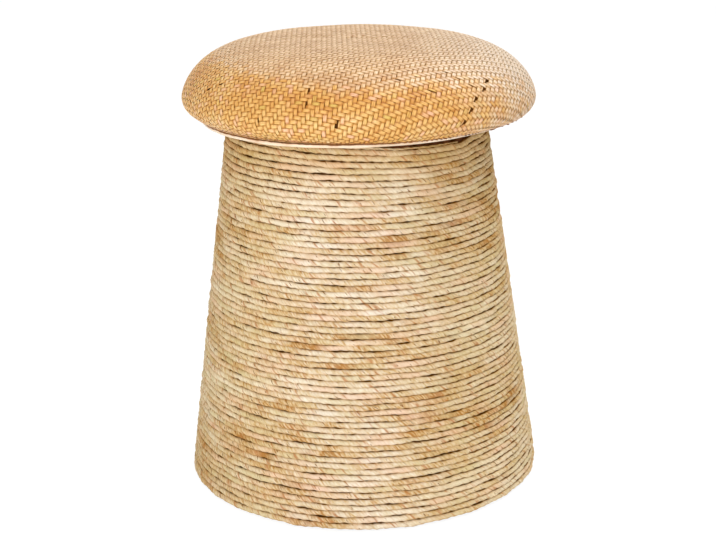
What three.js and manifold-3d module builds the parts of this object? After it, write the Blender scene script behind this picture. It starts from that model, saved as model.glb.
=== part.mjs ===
// A drum stool of the mudda family: a tapering cane frame inside a thin wooden
// skin, wound from floor to neck with one natural-fibre rope, and topped by a
// domed foam seat covered with a twill mat of split cane.
//
// Millimetres, Z up. The origin is on the floor, on the stool's own axis.

import * as THREE from "three";
import { mergeVertices } from "three/addons/utils/BufferGeometryUtils.js";
import Module from "manifold-3d";

const wasm = await Module();
wasm.setup();

// Driving dimensions of the whole stool
const overallHeight = 450;
const baseDiameter = 363;
const neckDiameter = 260;
const seatDiameter = 352;
const seatDepth = 80;

// What keeps neighbouring pieces apart, and what counts as one point of a mesh
const fitGap = 0.3;
const weldDistance = 0.0003;

// Facets round the axis
const drumFacets = 48;
const seatFacets = 32;
const ropeFacets = 22;
const glideFacets = 16;
const poleFacets = 12;
const screwFacets = 8;
const fullTurn = 2 * Math.PI;

// Floor glides, nailed under the foot ring
const glideCount = 4;
const glideDiameter = 22;
const glideHeight = 2.5;
const glideBevel = 0.8;
const glideNailDiameter = 2.6;
const glideNailLength = 11;

// Foot ring and neck ring, sawn from plywood
const footRingThickness = 18;
const footRingWidth = 40;
const neckRingThickness = 15;
const neckRingWidth = 38;

// Upright canes and the two hoops that tie them
const poleCount = 8;
const poleDiameter = 18;
const hoopDiameter = 12;
const hoopBite = 2;
const hoopFacets = 6;
const hoopHeightShares = [0.34, 0.68];

// Countersunk screws: long ones into the poles, shorter ones into the seat board
const screwDiameter = 4;
const screwHeadDiameter = 8;
const screwHeadHeight = 2.4;
const screwPointLength = 4;
const poleScrewGrip = 17;
const seatScrewCount = 6;
const seatScrewGrip = 9;
const seatScrewInset = 11;

// Wooden skin and the rope wound on it
const skinThickness = 2.4;
const ropeDiameter = 5.73;
const ropeStartHeight = 3;
const ropeTopGap = 2;
const ropesAbreast = 3;
const ropeLoopGap = 0.45;
const ropeEndHeight = 1.2;
const ropeValleyShare = 0.5;

// Seat: board, foam, woven cover and the reed that finishes its edge
const boardDiameter = 300;
const boardThickness = 12;
const boardBevel = 1;
const reedDiameter = 4;
const coverThickness = 1.6;
const overhangDrop = 19;
const crownFlatness = 4.7;
const crownShoulder = 1.57;
const crownSteps = 6;
const tuckSteps = 3;

// How far a cut starts outside the piece it is made in
const cutOverrun = 5;

// Heights, from the floor up
const footRingBottom = glideHeight + fitGap;
const footRingTop = footRingBottom + footRingThickness;
const boardBottom = overallHeight - seatDepth;
const boardTop = boardBottom + boardThickness;
const neckRingTop = boardBottom - fitGap;
const neckRingBottom = neckRingTop - neckRingThickness;
const ropeTop = boardBottom - ropeTopGap;
const poleBottom = footRingTop + fitGap;
const poleTop = neckRingBottom - fitGap;

// The taper, which the rope, skin, rings and poles all share
const taper = (baseDiameter - neckDiameter) / 2 / (ropeTop - ropeStartHeight);
const lean = Math.atan(taper);
const slantLength = (ropeTop - ropeStartHeight) / Math.cos(lean);
const ropeOutside = (z) => baseDiameter / 2 - taper * (z - ropeStartHeight);
const inwards = (z, depth) => ropeOutside(z) - depth / Math.cos(lean);
const skinOutside = (z) => inwards(z, ropeDiameter + fitGap);
const skinInside = (z) => inwards(z, ropeDiameter + fitGap + skinThickness);
const ringOutside = (z) => inwards(z, ropeDiameter + skinThickness + 2 * fitGap);
const poleAxis = (z) =>
  inwards(z, ropeDiameter + skinThickness + 2 * fitGap + poleDiameter / 2);

// Solids

function revolve(profile, facets) {
  const points = profile.map(([radius, z]) => new THREE.Vector2(radius, z));
  const [first] = points;
  if (first.x > 0) points.push(first.clone());
  return new THREE.LatheGeometry(points, facets).rotateX(Math.PI / 2);
}

function toSolid(geometry) {
  const bare = geometry.index ? geometry.toNonIndexed() : geometry.clone();
  bare.deleteAttribute("normal");
  bare.deleteAttribute("uv");
  const merged = mergeVertices(bare, weldDistance);
  return new wasm.Manifold(
    new wasm.Mesh({
      numProp: 3,
      vertProperties: merged.attributes.position.array,
      triVerts: new Uint32Array(merged.index.array),
    }),
  );
}

function toGeometry(solid) {
  const { vertProperties, triVerts } = solid.getMesh();
  return new THREE.BufferGeometry()
    .setAttribute("position", new THREE.BufferAttribute(vertProperties, 3))
    .setIndex(new THREE.BufferAttribute(triVerts, 1));
}

function cutAway(geometry, tools) {
  return toGeometry(tools.reduce((body, tool) => body.subtract(toSolid(tool)), toSolid(geometry)));
}

function levelSlab(bottom, top) {
  const side = 2 * baseDiameter;
  return new THREE.BoxGeometry(side, side, top - bottom).translate(0, 0, (top + bottom) / 2);
}

function upright(diameter, bottom, top, facets) {
  const half = diameter / 2;
  return revolve([[0, bottom], [half, bottom], [half, top], [0, top]], facets);
}

const aroundAxis = (count, startAngle, make) =>
  Array.from({ length: count }, (_, i) => make(startAngle + (i * fullTurn) / count, i));

const at = (geometry, radius, angle) =>
  geometry.clone().translate(radius, 0, 0).rotateZ(angle);

// Screws: the head sits flush at z = 0 and the point looks up

function screw(length) {
  const shank = screwDiameter / 2;
  const head = screwHeadDiameter / 2;
  return revolve(
    [
      [0, 0],
      [head, 0],
      [shank, screwHeadHeight],
      [shank, length - screwPointLength],
      [0, length],
    ],
    screwFacets,
  );
}

// The hole that a screw needs, wider and deeper than the screw by the fit gap
function screwHole(length, sunk) {
  const bore = screwDiameter / 2 + fitGap;
  const mouth = screwHeadDiameter / 2 + fitGap;
  const sink = screwHeadHeight + fitGap;
  const deep = length + fitGap;
  const rim = sunk ? mouth : bore;
  return revolve(
    [[0, -cutOverrun], [rim, -cutOverrun], [rim, 0], [bore, sink], [bore, deep], [0, deep]],
    screwFacets,
  );
}

const pointDown = (geometry, z) => geometry.clone().rotateX(Math.PI).translate(0, 0, z);
const pointUp = (geometry, z) => geometry.clone().translate(0, 0, z);

const poleAngle = fullTurn / poleCount / 2;
const footScrewLength = footRingThickness + fitGap + poleScrewGrip;
const headScrewLength = neckRingThickness + fitGap + poleScrewGrip;
const footScrewRadius = poleAxis(poleBottom + poleScrewGrip / 2);
const headScrewRadius = poleAxis(poleTop - poleScrewGrip / 2);

// Seat screws stand under the neck ring's inner edge, their heads sunk in its underside
const neckRingInner = ringOutside(neckRingTop) - neckRingWidth;
const seatScrewRadius = neckRingInner + seatScrewInset;
const seatScrewLength = neckRingThickness + fitGap + seatScrewGrip;

// Floor glides

const footRingInner = ringOutside(footRingBottom) - footRingWidth;
const glideRadius = footRingInner + footRingWidth / 2;

function glide() {
  const foot = glideDiameter / 2;
  const nail = glideNailDiameter / 2;
  return revolve(
    [
      [0, 0],
      [foot - glideBevel, 0],
      [foot, glideBevel],
      [foot, glideHeight],
      [nail, glideHeight],
      [nail, glideHeight + glideNailLength],
      [0, glideHeight + glideNailLength],
    ],
    glideFacets,
  );
}

// Rings: their outer edges are sawn to the taper, so the skin lies flat on them

function ring(bottom, top, inner) {
  return revolve(
    [
      [inner, bottom],
      [ringOutside(bottom), bottom],
      [ringOutside(top), top],
      [inner, top],
    ],
    drumFacets,
  );
}

function footRing() {
  const hole = pointUp(screwHole(footScrewLength, true), footRingBottom);
  const nailHole = upright(
    glideNailDiameter + 2 * fitGap,
    footRingBottom - cutOverrun,
    glideHeight + glideNailLength + fitGap,
    screwFacets,
  );
  return cutAway(ring(footRingBottom, footRingTop, footRingInner), [
    ...aroundAxis(poleCount, poleAngle, (angle) => at(hole, footScrewRadius, angle)),
    ...aroundAxis(glideCount, 0, (angle) => at(nailHole, glideRadius, angle)),
  ]);
}

function neckRing() {
  const poleHole = pointDown(screwHole(headScrewLength, true), neckRingTop);
  const seatHole = pointUp(screwHole(seatScrewLength, true), neckRingBottom);
  return cutAway(ring(neckRingBottom, neckRingTop, neckRingInner), [
    ...aroundAxis(poleCount, poleAngle, (angle) => at(poleHole, headScrewRadius, angle)),
    ...aroundAxis(seatScrewCount, 0, (angle) => at(seatHole, seatScrewRadius, angle)),
  ]);
}

// Hoops lie inside the poles and bite a little way into a saddle cut in each

const poleInside = (z) => poleAxis(z) - poleDiameter / 2 / Math.cos(lean);
const hoopHeights = hoopHeightShares.map((share) => poleBottom + share * (poleTop - poleBottom));

function hoop(z, growth) {
  const radius = poleInside(z) + hoopBite - hoopDiameter / 2;
  const tube = hoopDiameter / 2 + growth;
  return new THREE.TorusGeometry(radius, tube, hoopFacets, drumFacets).translate(0, 0, z);
}

// Poles: canes leaning with the taper, cut level at both ends, drilled and saddled

function pole() {
  const length = (overallHeight + cutOverrun) / Math.cos(lean);
  const cane = new THREE.CylinderGeometry(poleDiameter / 2, poleDiameter / 2, length, poleFacets)
    .rotateX(Math.PI / 2)
    .rotateY(-lean)
    .translate(poleAxis(overallHeight / 2), 0, overallHeight / 2);
  const cutLevel = toSolid(cane).intersect(toSolid(levelSlab(poleBottom, poleTop)));
  const footHole = screwHole(footScrewLength, false).translate(footScrewRadius, 0, footRingBottom);
  const headHole = pointDown(screwHole(headScrewLength, false), neckRingTop);
  return cutAway(toGeometry(cutLevel), [
    footHole,
    headHole.translate(headScrewRadius, 0, 0),
    ...hoopHeights.map((z) => hoop(z, fitGap)),
  ]);
}

// Skin: a thin shell bent round the rings

function skin() {
  const bottom = footRingBottom;
  const top = neckRingTop;
  return revolve(
    [
      [skinInside(bottom), bottom],
      [skinOutside(bottom), bottom],
      [skinOutside(top), top],
      [skinInside(top), top],
    ],
    drumFacets,
  );
}

// Rope: wound round the skin in one spiral. In this solid the spiral is a band that
// carries ropesAbreast neighbouring turns of the rope as ribs, so it climbs that many
// ropes in each loop. It is cut level at the floor end and at the neck.

const bandPitch = ropesAbreast * ropeDiameter;
const bandHalf = (bandPitch - ropeLoopGap) / 2;

function bandSection() {
  const lowest = (ropeDiameter - bandPitch) / 2;
  const section = [[0, -bandHalf]];
  for (let i = 0; i < ropesAbreast; i++) {
    const crest = lowest + i * ropeDiameter;
    if (i > 0) section.push([ropeValleyShare * ropeDiameter, crest - ropeDiameter / 2]);
    section.push([ropeDiameter, crest]);
  }
  section.push([0, bandHalf]);
  return section;
}

function windRope() {
  const section = bandSection();
  const start = ropeEndHeight - bandHalf;
  const end = slantLength - ropeEndHeight + bandHalf;
  const steps = Math.ceil(((end - start) / bandPitch) * ropeFacets);
  const onFacet = 1 / Math.cos(Math.PI / ropeFacets);
  const rings = [];
  for (let i = 0; i <= steps; i++) {
    const angle = (i * fullTurn) / ropeFacets;
    const along = start + (i * bandPitch) / ropeFacets;
    rings.push(
      section.map(([out, up]) => {
        const z = ropeStartHeight + (along + up) * Math.cos(lean) + out * Math.sin(lean);
        const seated = skinOutside(ropeStartHeight) + fitGap - (along + up) * Math.sin(lean);
        const radius = (seated + out * Math.cos(lean)) * onFacet;
        return new THREE.Vector3(radius * Math.cos(angle), radius * Math.sin(angle), z);
      }),
    );
  }
  return { rings, sides: section.length };
}

// The narrowest space between one loop of the band and the next, measured on its points
function leastLoopGap(rings) {
  let least = Infinity;
  for (let i = 0; i + ropeFacets < rings.length; i++) {
    for (const next of [rings[i + ropeFacets - 1], rings[i + ropeFacets]]) {
      for (const a of rings[i]) for (const b of next) least = Math.min(least, a.distanceTo(b));
    }
  }
  return least;
}

function rope() {
  const { rings, sides } = windRope();
  console.log("least gap between rope loops, mm:", leastLoopGap(rings).toFixed(2));
  const positions = rings.flat().flatMap((point) => point.toArray());
  const faces = [];
  for (let i = 0; i + 1 < rings.length; i++) {
    for (let j = 0; j < sides; j++) {
      const a = i * sides + j;
      const b = i * sides + ((j + 1) % sides);
      faces.push(a, a + sides, b, b, a + sides, b + sides);
    }
  }
  const last = (rings.length - 1) * sides;
  for (let j = 1; j + 1 < sides; j++) {
    faces.push(0, j, j + 1, last, last + j + 1, last + j);
  }
  const band = new THREE.BufferGeometry()
    .setAttribute("position", new THREE.Float32BufferAttribute(positions, 3))
    .setIndex(faces);
  return toGeometry(toSolid(band).intersect(toSolid(levelSlab(ropeStartHeight, ropeTop))));
}

// Seat board, its edge reed, foam and woven cover

const boardRadius = boardDiameter / 2;
const tuckRadius = boardRadius + fitGap;
const tuckBottom = boardBottom + reedDiameter + 2 * fitGap;
const widest = tuckBottom + overhangDrop;

function board() {
  const blank = revolve(
    [
      [0, boardBottom],
      [boardRadius, boardBottom],
      [boardRadius, boardTop - boardBevel],
      [boardRadius - boardBevel, boardTop],
      [0, boardTop],
    ],
    seatFacets,
  );
  const hole = pointUp(screwHole(seatScrewLength, false), neckRingBottom);
  return cutAway(
    blank,
    aroundAxis(seatScrewCount, 0, (angle) => at(hole, seatScrewRadius, angle)),
  );
}

function reed() {
  const radius = boardRadius + fitGap + reedDiameter / 2;
  return new THREE.TorusGeometry(radius, reedDiameter / 2, hoopFacets, seatFacets).translate(
    0,
    0,
    boardBottom + fitGap + reedDiameter / 2,
  );
}

// The dome's outline at a depth under the cover's face, from the board's edge out and up
// to the crown: a quarter turn tucks it under, and a superellipse rounds it over.
function domeOutline(depth) {
  const reach = seatDiameter / 2 - depth;
  const rise = overallHeight - widest - depth;
  const drop = widest - tuckBottom - depth;
  const outline = [];
  for (let i = tuckSteps; i > 0; i--) {
    const turn = ((i / tuckSteps) * Math.PI) / 2;
    outline.push([
      tuckRadius + (reach - tuckRadius) * Math.cos(turn),
      widest - drop * Math.sin(turn),
    ]);
  }
  for (let i = crownSteps; i > 0; i--) {
    const turn = ((i / crownSteps) * Math.PI) / 2;
    outline.push([
      reach * Math.sin(turn) ** (2 / crownFlatness),
      widest + rise * Math.cos(turn) ** (2 / crownShoulder),
    ]);
  }
  outline.push([0, widest + rise]);
  return outline;
}

function cover() {
  const inside = domeOutline(coverThickness);
  return revolve([...inside.reverse(), ...domeOutline(0)], seatFacets);
}

function foam() {
  const outline = domeOutline(coverThickness + fitGap);
  const seat = boardTop + fitGap;
  return revolve([[0, seat], [tuckRadius, seat], ...outline], seatFacets);
}

// Finishes
const finish = (color, roughness, metalness = 0) =>
  new THREE.MeshStandardMaterial({ color, roughness, metalness });
const ropeFibre = finish(0xd8bb93, 0.85);
const splitCane = finish(0xe0ad6d, 0.6);
const paleReed = finish(0xead0b0, 0.7);
const roundCane = finish(0xc9a468, 0.55);
const plywood = finish(0xd3b487, 0.7);
const seatFoam = finish(0xf0ead6, 0.95);
const zincSteel = finish(0xb9b9b4, 0.35, 0.9);
const nylon = finish(0x4a3a2c, 0.6);

// Assembly
const stool = new THREE.Group();

function add(name, geometry, material, angle = 0) {
  const piece = new THREE.Mesh(geometry, material);
  piece.name = name;
  piece.rotation.z = angle;
  stool.add(piece);
}

add("foot_ring", footRing(), plywood);
add("neck_ring", neckRing(), plywood);
add("lower_hoop", hoop(hoopHeights[0], 0), roundCane, poleAngle);
add("upper_hoop", hoop(hoopHeights[1], 0), roundCane, poleAngle);

const onePole = pole();
const footScrew = screw(footScrewLength).translate(footScrewRadius, 0, footRingBottom);
const headScrew = pointDown(screw(headScrewLength), neckRingTop).translate(headScrewRadius, 0, 0);
aroundAxis(poleCount, poleAngle, (angle, i) => {
  add(`pole_${i + 1}`, onePole, roundCane, angle);
  add(`pole_foot_screw_${i + 1}`, footScrew, zincSteel, angle);
  add(`pole_head_screw_${i + 1}`, headScrew, zincSteel, angle);
});

const oneGlide = glide().translate(glideRadius, 0, 0);
aroundAxis(glideCount, 0, (angle, i) => add(`glide_${i + 1}`, oneGlide, nylon, angle));

add("drum_skin", skin(), plywood);
add("rope_winding", rope(), ropeFibre);

add("seat_board", board(), plywood);
const seatScrew = screw(seatScrewLength).translate(seatScrewRadius, 0, neckRingBottom);
aroundAxis(seatScrewCount, 0, (angle, i) => {
  add(`seat_screw_${i + 1}`, seatScrew, zincSteel, angle);
});
add("edge_reed", reed(), paleReed);
add("seat_foam", foam(), seatFoam);
add("woven_cover", cover(), splitCane);

export default stool;
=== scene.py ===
# A mudda stool: a rope-wound drum on a cane frame, under a domed seat of woven cane.
# Metres, Z up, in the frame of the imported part.

import math

import bmesh
import bpy
import numpy as np
from mathutils import Matrix, Vector


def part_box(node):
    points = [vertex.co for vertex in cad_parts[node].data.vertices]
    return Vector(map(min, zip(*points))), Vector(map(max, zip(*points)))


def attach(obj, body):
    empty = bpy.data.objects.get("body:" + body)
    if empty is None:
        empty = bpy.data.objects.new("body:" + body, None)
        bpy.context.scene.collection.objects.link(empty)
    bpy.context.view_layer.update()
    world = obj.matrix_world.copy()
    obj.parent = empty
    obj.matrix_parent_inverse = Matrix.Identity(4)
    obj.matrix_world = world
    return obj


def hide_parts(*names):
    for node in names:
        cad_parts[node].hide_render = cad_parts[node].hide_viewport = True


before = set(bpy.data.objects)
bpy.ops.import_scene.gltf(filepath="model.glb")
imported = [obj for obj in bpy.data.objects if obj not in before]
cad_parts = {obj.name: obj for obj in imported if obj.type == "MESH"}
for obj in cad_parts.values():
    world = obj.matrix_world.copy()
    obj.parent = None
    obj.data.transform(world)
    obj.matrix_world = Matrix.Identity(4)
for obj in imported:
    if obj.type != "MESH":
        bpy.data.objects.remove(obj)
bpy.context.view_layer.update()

# Foot ring
# A flat ring sawn from birch plywood. Everything in the drum stands on it: the canes are
# screwed to it from below, and its outer edge is sawn to the drum's taper.

ply_thickness = 0.0015
ply_grain = (30.0, 420.0, 420.0)
cross_ply_shade = 0.35
birch = (0.68, 0.50, 0.31)
birch_dark = (0.42, 0.27, 0.14)


def add_node(tree, kind, inputs=None, **settings):
    made = tree.nodes.new(kind)
    for name, value in settings.items():
        setattr(made, name, value)
    for socket, value in (inputs or {}).items():
        if isinstance(value, bpy.types.NodeSocket):
            tree.links.new(value, made.inputs[socket])
        else:
            made.inputs[socket].default_value = value
    return made


def calc(tree, operation, a, b=0.0, c=0.0, clamp=False):
    return add_node(
        tree, "ShaderNodeMath", {0: a, 1: b, 2: c}, operation=operation, use_clamp=clamp
    ).outputs[0]


def blend_colours(tree, factor, first, second, blend_type="MIX", share=1.0):
    mix = add_node(tree, "ShaderNodeMix", data_type="RGBA", blend_type=blend_type)
    tree.links.new(calc(tree, "MULTIPLY", factor, share), mix.inputs[0])
    for socket, value in ((mix.inputs[6], first), (mix.inputs[7], second)):
        if isinstance(value, bpy.types.NodeSocket):
            tree.links.new(value, socket)
        else:
            socket.default_value = (*value, 1.0)
    return mix.outputs[2]


def colour_ramp(tree, factor, stops):
    ramp = add_node(tree, "ShaderNodeValToRGB", {0: factor})
    elements = ramp.color_ramp.elements
    while len(elements) < len(stops):
        elements.new(1.0)
    for element, (place, colour) in zip(elements, stops):
        element.position = place
        element.color = (*colour, 1.0)
    return ramp.outputs[0]


def new_finish(name, roughness, metallic=0.0, shine=0.5):
    material = bpy.data.materials.new(name)
    material.use_nodes = True
    tree = material.node_tree
    shader = tree.nodes["Principled BSDF"]
    shader.inputs["Roughness"].default_value = roughness
    shader.inputs["Metallic"].default_value = metallic
    shader.inputs["Specular IOR Level"].default_value = shine
    return material, tree, shader


def dress(tree, shader, colour, relief, depth, strength=0.5):
    tree.links.new(colour, shader.inputs["Base Color"])
    sizes = {"Strength": strength, "Distance": depth, "Height": relief}
    tree.links.new(add_node(tree, "ShaderNodeBump", sizes).outputs[0], shader.inputs["Normal"])


def object_place(tree):
    return add_node(tree, "ShaderNodeTexCoord").outputs["Object"]


def stretched(tree, vector, scale):
    return add_node(tree, "ShaderNodeMapping", {"Vector": vector, "Scale": scale}).outputs[0]


def parts_of(tree, vector):
    return add_node(tree, "ShaderNodeSeparateXYZ", {0: vector}).outputs


def noise(tree, vector, scale=1.0, detail=2.0):
    return add_node(
        tree, "ShaderNodeTexNoise", {"Vector": vector, "Scale": scale, "Detail": detail}
    ).outputs[0]


def plywood_finish():
    material, tree, shader = new_finish("birch plywood", roughness=0.6)
    place = object_place(tree)
    _, _, height = parts_of(tree, place)
    layer = calc(tree, "PINGPONG", height, ply_thickness)
    cross_ply = calc(tree, "LESS_THAN", layer, ply_thickness / 2.0)
    grain = noise(tree, stretched(tree, place, ply_grain), detail=6.0)
    face = colour_ramp(tree, grain, ((0.3, birch_dark), (0.62, birch)))
    colour = blend_colours(tree, cross_ply, face, birch_dark, share=cross_ply_shade)
    dress(tree, shader, colour, grain, depth=0.0004, strength=0.4)
    return material


def finish_nodes(material, *names):
    for name in names:
        bpy.data.objects[name].data.materials.clear()
        bpy.data.objects[name].data.materials.append(material)


plywood = plywood_finish()
finish_nodes(plywood, "foot_ring")

# Floor glides
# Four flat nylon discs, each moulded on a nail that is driven into the foot ring.

glide_count = 4


def grained_finish(name, grain, detail, stops, relief_depth, strength=0.5, **surface):
    """A plain material, whose colour and relief follow one noise."""
    material, tree, shader = new_finish(name, **surface)
    pattern = noise(tree, stretched(tree, object_place(tree), grain), detail=detail)
    dress(tree, shader, colour_ramp(tree, pattern, stops), pattern, relief_depth, strength)
    return material


def numbered(name, count):
    return [f"{name}_{i + 1}" for i in range(count)]


brown_nylon = grained_finish(
    "brown nylon",
    grain=(900.0, 900.0, 900.0),
    detail=3.0,
    stops=((0.35, (0.050, 0.032, 0.020)), (0.7, (0.085, 0.058, 0.038))),
    relief_depth=0.0001,
    roughness=0.45,
)
finish_nodes(brown_nylon, *numbered("glide", glide_count))

# Poles and hoops
# Round cane, sanded but not varnished. Eight poles lean with the drum, and two hoops bent
# from thinner cane lie in saddles cut in them.

pole_count = 8
cane_pale = (0.62, 0.44, 0.22)
cane_dark = (0.36, 0.21, 0.09)


def round_cane_finish():
    material, tree, shader = new_finish("round cane", roughness=0.48)
    place = object_place(tree)
    streaks = noise(tree, stretched(tree, place, (500.0, 500.0, 18.0)), detail=5.0)
    blotches = noise(tree, place, scale=26.0, detail=3.0)
    tone = calc(tree, "MULTIPLY_ADD", streaks, 0.6, 0.2)
    mottled = calc(tree, "MULTIPLY", tone, calc(tree, "ADD", blotches, 0.6))
    colour = colour_ramp(tree, mottled, ((0.32, cane_dark), (0.62, cane_pale)))
    dress(tree, shader, colour, streaks, depth=0.0003)
    return material


finish_nodes(round_cane_finish(), "lower_hoop", "upper_hoop", *numbered("pole", pole_count))

# Neck ring and the screws
# The neck ring is the same plywood as the foot ring. Countersunk zinc-plated screws hold
# the canes at both ends, and six more come up through the neck ring into the seat board.

seat_screw_count = 6

finish_nodes(plywood, "neck_ring")
zinc_plate = grained_finish(
    "zinc plate",
    grain=(1200.0, 1200.0, 1200.0),
    detail=3.0,
    stops=((0.3, (0.50, 0.49, 0.45)), (0.7, (0.66, 0.66, 0.64))),
    relief_depth=0.00005,
    roughness=0.32,
    metallic=1.0,
)
finish_nodes(
    zinc_plate,
    *numbered("pole_foot_screw", pole_count),
    *numbered("pole_head_screw", pole_count),
    *numbered("seat_screw", seat_screw_count),
)

# Drum skin
# Thin bending plywood, wrapped round the rings and glued. It shows from below, where the
# rope starts and ends, and in the dark line under the seat's rim. Its very dark brown is
# painted shade for that line.

shade_dark_ply = grained_finish(
    "drum skin",
    grain=(90.0, 90.0, 24.0),
    detail=6.0,
    stops=((0.36, (0.060, 0.022, 0.004)), (0.62, (0.21, 0.078, 0.034))),
    relief_depth=0.0003,
    strength=0.4,
    roughness=0.75,
    shine=0.0,
)
finish_nodes(shade_dark_ply, "drum_skin")

# Rope
# One rope of twisted plant leaf, about 6 mm thick, wound tightly round the drum from the
# floor to the neck and glued. Its last turn ends under the rim, to the right of the front.

rope_diameter = 0.00573
rope_plumpness = 1.06
rope_sides = 10
rope_steps_per_turn = 520
rope_pieces = 5
rope_seed = 7
rope_lay = 0.018
rope_flattening = 0.00024
rope_lumps = 0.0011
lumps_around = 1.1
lumps_along = 90.0
rope_end_angle = math.radians(-30.0)
rope_foot = 0.003
rope_under_seat = 0.0026
rope_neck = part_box("seat_board")[0][2] - rope_under_seat
drum_foot_radius = 0.1815
drum_neck_radius = 0.1300
levelling_turns = 8.0
levelling_share = 0.3
neck_dip = 0.0033
neck_dip_turns = 12.0
neck_dip_start = 0.03
neck_dip_length = 0.20
slant_wander = 0.00029
depth_wander = 0.00034
path_waves = (0.41, 0.23, 0.147, 0.093, 0.061, 0.037)
girth_wander = 0.060
girth_waves = (0.13, 0.057, 0.029, 0.017)

drum_lean = math.atan2(drum_foot_radius - drum_neck_radius, rope_neck - rope_foot)
drum_slant = (rope_neck - rope_foot) / math.cos(drum_lean)
rope_turns = drum_slant / rope_diameter - 1.0


def normalised(vectors):
    return vectors / np.linalg.norm(vectors, axis=1, keepdims=True)


def smooth_step(values, start=0.0, length=1.0):
    """A smooth rise from 0 at the start to 1 at the end of the length."""
    share = np.clip((values - start) / length, 0.0, 1.0)
    return share * share * (3.0 - 2.0 * share)


def wander(distance, wavelengths, rng):
    """A random wave made of several, of about the same strength whatever their number."""
    total = np.zeros_like(distance)
    for wavelength in wavelengths:
        total += np.sin(2.0 * np.pi * distance / wavelength + rng.uniform(0.0, 2.0 * np.pi))
    return total * math.sqrt(2.0 / len(wavelengths))


def rope_path():
    """The rope's middle line from foot to neck, the length laid so far, and the girth.

    The first and last turns lie level, and the last ones dip where the rope ends.
    """
    rng = np.random.default_rng(rope_seed)
    turn = np.arange(0.0, rope_turns, 1.0 / rope_steps_per_turn)
    angle = rope_end_angle + 2.0 * np.pi * (rope_turns - turn)
    since_foot = turn % 1.0
    since_end = (turn - rope_turns) % 1.0
    near_foot = np.clip(1.0 - turn / levelling_turns, 0.0, 1.0)
    near_neck = np.clip(1.0 - (rope_turns - turn) / levelling_turns, 0.0, 1.0)
    foot_step = smooth_step(since_foot, 1.0 - levelling_share, levelling_share)
    neck_step = smooth_step(since_end, 0.0, levelling_share)
    climbed = turn - near_foot * (since_foot - foot_step) - near_neck * (since_end - neck_step)
    slant = rope_diameter * (0.5 + climbed)
    dipping = smooth_step(since_end, 0.0, neck_dip_start)
    dipping = dipping * (1.0 - smooth_step(since_end, neck_dip_start, neck_dip_length))
    pressed = np.clip(1.0 - (rope_turns - turn) / neck_dip_turns, 0.0, 1.0)
    slant = slant - neck_dip * dipping * pressed
    mean_radius = drum_foot_radius - slant * math.sin(drum_lean)
    laid = np.concatenate(([0.0], np.cumsum(2.0 * np.pi * mean_radius[1:] / rope_steps_per_turn)))
    slant = slant + slant_wander * wander(laid, path_waves, rng)
    outward = depth_wander * wander(laid, path_waves[1:], rng) - rope_diameter / 2.0
    radius = drum_foot_radius - slant * math.sin(drum_lean) + outward * math.cos(drum_lean)
    height = rope_foot + slant * math.cos(drum_lean) + outward * math.sin(drum_lean)
    points = np.stack((radius * np.cos(angle), radius * np.sin(angle), height), axis=1)
    girth = 1.0 + girth_wander * wander(laid, girth_waves, rng)
    return points, laid, girth


def line_mesh(name, points, **floats):
    mesh = bpy.data.meshes.new(name)
    edges = [(i, i + 1) for i in range(len(points) - 1)]
    mesh.from_pydata(points.tolist(), edges, [])
    for label, values in floats.items():
        mesh.attributes.new(label, "FLOAT", "POINT").data.foreach_set("value", values)
    return mesh


def read_attribute(tree, label, kind="FLOAT_VECTOR"):
    node = add_node(tree, "GeometryNodeInputNamedAttribute", {"Name": label}, data_type=kind)
    return node.outputs["Attribute"]


def vector_calc(tree, operation, a, b=(0.0, 0.0, 0.0), scale=1.0):
    made = add_node(tree, "ShaderNodeVectorMath", {0: a, 1: b, 3: scale}, operation=operation)
    return made.outputs["Value" if operation == "DOT_PRODUCT" else "Vector"]


def new_tree(name, **sizes):
    tree = bpy.data.node_groups.new(name, "GeometryNodeTree")
    tree.interface.new_socket("Geometry", in_out="OUTPUT", socket_type="NodeSocketGeometry")
    tree.interface.new_socket("Geometry", in_out="INPUT", socket_type="NodeSocketGeometry")
    for label, (kind, value) in sizes.items():
        label = label.replace("_", " ")
        socket = tree.interface.new_socket(label, in_out="INPUT", socket_type=kind)
        if value is not None:
            socket.default_value = value
    return tree, add_node(tree, "NodeGroupInput"), add_node(tree, "NodeGroupOutput")


def close_tree(tree, geometry, finish, result):
    smooth = add_node(tree, "GeometryNodeSetShadeSmooth", {"Geometry": geometry})
    plain = add_node(tree, "GeometryNodeRealizeInstances", {"Geometry": smooth.outputs[0]})
    finished = add_node(
        tree, "GeometryNodeSetMaterial", {"Geometry": plain.outputs[0], "Material": finish}
    )
    tree.links.new(finished.outputs[0], result.inputs["Geometry"])


def joined(tree, *parts):
    return add_node(tree, "ShaderNodeCombineXYZ", dict(enumerate(parts))).outputs[0]


def twisted_noise(tree, fibre, laid, turns, stretch, detail=2.0):
    """Noise drawn out along the twisted fibres."""
    vector = joined(
        tree,
        calc(tree, "MULTIPLY", calc(tree, "COSINE", fibre), turns),
        calc(tree, "MULTIPLY", calc(tree, "SINE", fibre), turns),
        calc(tree, "MULTIPLY", laid, stretch),
    )
    return noise(tree, vector, detail=detail)


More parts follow.
